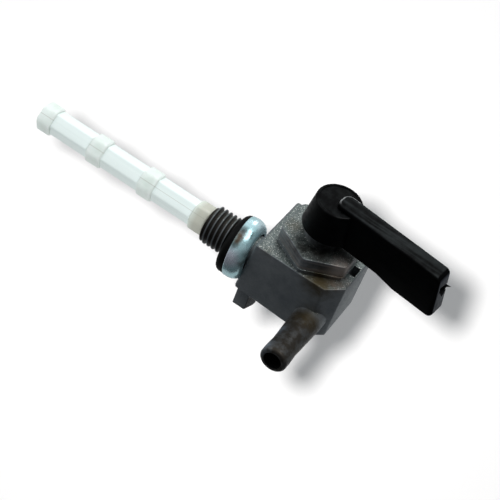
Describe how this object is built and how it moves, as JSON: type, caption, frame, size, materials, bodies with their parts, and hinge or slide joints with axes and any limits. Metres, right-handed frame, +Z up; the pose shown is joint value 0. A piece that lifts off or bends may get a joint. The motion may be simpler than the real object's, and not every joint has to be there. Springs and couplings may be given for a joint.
{
  "type": "fuel tap",
  "caption": "Fuel tap for a small tank: threaded inlet stub with a long tube strainer, sealing washer and rubber ring, cast block with a barbed hose outlet, and a black turning lever.",
  "frame": {"origin": "on the thread's axis, in the face of the rubber seal that the tank's wall comes down on", "axes": "+Z runs up the thread and strainer into the tank, +X points out of the hose outlet, +Y points out of the lever side"},
  "size_m": [0.0433, 0.0463, 0.1289],
  "materials": {
    "cast_body": "satin",
    "plated_washer": "polished",
    "seal_rubber": "matte",
    "strainer_nylon": "satin",
    "strainer_gauze": "matte",
    "pipe_brass": "satin",
    "pin_steel": "satin",
    "lever_plastic": "satin",
    "rotor_metal": "satin"
  },
  "bodies": {
    "body": {"tap_body": "cast_body", "seal_cup_washer": "plated_washer", "tank_seal_ring": "seal_rubber", "strainer_frame": "strainer_nylon", "strainer_gauze_lower": "strainer_gauze", "strainer_gauze_middle": "strainer_gauze", "strainer_gauze_upper": "strainer_gauze", "standpipe": "pipe_brass", "port_sleeve": "seal_rubber", "retaining_pin": "pin_steel", "spring_washer": "pin_steel"},
    "lever": {"lever_handle": "lever_plastic", "valve_rotor": "rotor_metal", "rotor_seal_ring": "seal_rubber"}
  },
  "joints": [
    {"name": "lever_turn", "type": "hinge", "parent": "body", "child": "lever", "pos_m": [-0.0059, 0, -0.0227], "axis": [0, 1, 0], "range_deg": [-83.8, 96.2]}
  ]
}
